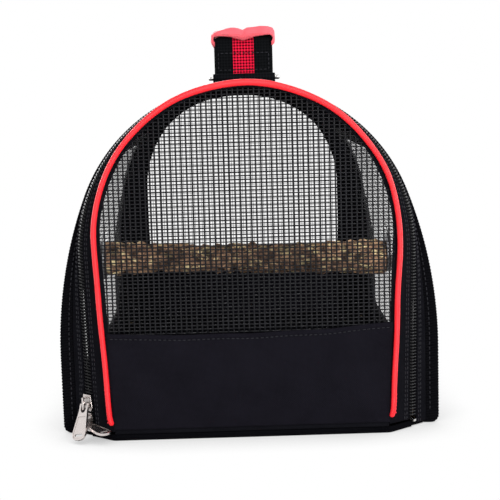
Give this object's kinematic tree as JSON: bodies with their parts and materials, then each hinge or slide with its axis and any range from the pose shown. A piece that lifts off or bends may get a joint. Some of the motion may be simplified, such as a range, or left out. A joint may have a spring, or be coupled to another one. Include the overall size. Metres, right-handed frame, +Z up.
{
  "type": "bird travel carrier",
  "caption": "Arched soft carrier for a bird: cloth tunnel, mesh windows, zipped front door with piping, bark perch, webbing handle on rings.",
  "frame": {"origin": "centre of the flat base, on the surface the carrier stands on", "axes": "+Z up; Y runs the length of the tunnel, with the zipped door at -Y; +X to the right when facing the door"},
  "size_m": [0.2406, 0.4128, 0.258],
  "materials": {
    "black_oxford": "plain-weave oxford cloth, slightly satin",
    "black_mesh": "coated polyester mesh",
    "black_binding": "ribbed seam binding",
    "zip_nylon": "nylon coil and tape",
    "red_piping": "smooth coated piping",
    "bright_metal": "plated zinc and steel",
    "bark_wood": "natural bark",
    "webbing": "black webbing with a red centre band",
    "red_grip": "padded red oxford wrap",
    "fibreboard": "raw board"
  },
  "bodies": {
    "carrier": {"bottom_panel": "black_oxford", "front_base_band": "black_oxford", "base_board": "fibreboard", "floor_mat": "black_oxford", "left_wall": "black_oxford", "right_wall": "black_oxford", "roof_panel": "black_oxford", "left_window_mesh": "black_mesh", "right_window_mesh": "black_mesh", "front_binding": "black_binding", "rear_binding": "black_binding", "front_zip_gusset": "black_oxford", "zipper_tape_body": "zip_nylon", "zipper_teeth_body": "zip_nylon", "zipper_stops": "bright_metal", "rear_gusset": "black_oxford", "rear_lower_panel": "black_oxford", "rear_mesh": "black_mesh", "rear_piping": "red_piping", "perch": "bark_wood", "perch_studs": "bright_metal", "inner_washers": "bright_metal", "outer_washers": "bright_metal", "front_ring_tab": "black_oxford", "rear_ring_tab": "black_oxford", "front_ring": "bright_metal", "rear_ring": "bright_metal"},
    "door": {"door_lower_panel": "black_oxford", "door_mesh": "black_mesh", "door_hem": "black_oxford", "door_piping": "red_piping", "door_gusset": "black_oxford", "zipper_tape_door": "zip_nylon", "zipper_teeth_door": "zip_nylon"},
    "upper_slider": {"upper_slider": "bright_metal"},
    "lower_slider": {"lower_slider": "bright_metal"},
    "upper_pull": {"upper_pull": "bright_metal"},
    "lower_pull": {"lower_pull": "bright_metal"},
    "front_leg": {"handle_front_leg": "webbing"},
    "rear_leg": {"handle_rear_leg": "webbing"},
    "grip": {"handle_top_strap": "webbing", "grip_wrap": "red_grip"},
    "left_nut": {"left_wing_nut": "bright_metal"},
    "right_nut": {"right_wing_nut": "bright_metal"}
  },
  "joints": [
    {"name": "door_hinge", "type": "hinge", "parent": "carrier", "child": "door", "pos_m": [0, -0.199, 0.0054], "axis": [1, 0, 0], "range_deg": [0, 90]},
    {"name": "upper_slider_slide", "type": "slide", "parent": "door", "child": "upper_slider", "axis": [-0.0175, 0, 0.9998], "range_m": [0, 0.06]},
    {"name": "lower_slider_slide", "type": "slide", "parent": "door", "child": "lower_slider", "axis": [-0.0175, 0, 0.9998], "range_m": [0, 0.0003]},
    {"name": "upper_pull_swing", "type": "hinge", "parent": "upper_slider", "child": "upper_pull", "pos_m": [-0.10459, -0.19089, 0.022], "axis": [0.859, -0.4816, 0.1737], "range_deg": [-135, 0]},
    {"name": "lower_pull_swing", "type": "hinge", "parent": "lower_slider", "child": "lower_pull", "pos_m": [-0.10663, -0.19095, 0.01071], "axis": [0.6857, 0.727, -0.0345], "range_deg": [-4, 0]},
    {"name": "handle_front_swing", "type": "hinge", "parent": "carrier", "child": "front_leg", "pos_m": [0.002, -0.075, 0.223], "axis": [1, 0, 0], "range_deg": [-50, 50]},
    {"name": "handle_rear_swing", "type": "hinge", "parent": "carrier", "child": "rear_leg", "pos_m": [0.002, 0.075, 0.223], "axis": [1, 0, 0], "range_deg": [-50, 50]},
    {"name": "grip_level", "type": "hinge", "parent": "front_leg", "child": "grip", "pos_m": [0.002, -0.075, 0.25], "axis": [1, 0, 0], "range_deg": [-50, 50]},
    {"name": "left_nut_turn", "type": "hinge", "parent": "carrier", "child": "left_nut", "pos_m": [-0.115, 0, 0.086], "axis": [1, 0, 0], "continuous": true},
    {"name": "right_nut_turn", "type": "hinge", "parent": "carrier", "child": "right_nut", "pos_m": [0.115, 0, 0.086], "axis": [1, 0, 0], "continuous": true}
  ],
  "couplings": [
    {"joint": "handle_rear_swing", "follows": "handle_front_swing", "ratio": 1},
    {"joint": "grip_level", "follows": "handle_front_swing", "ratio": -1}
  ]
}
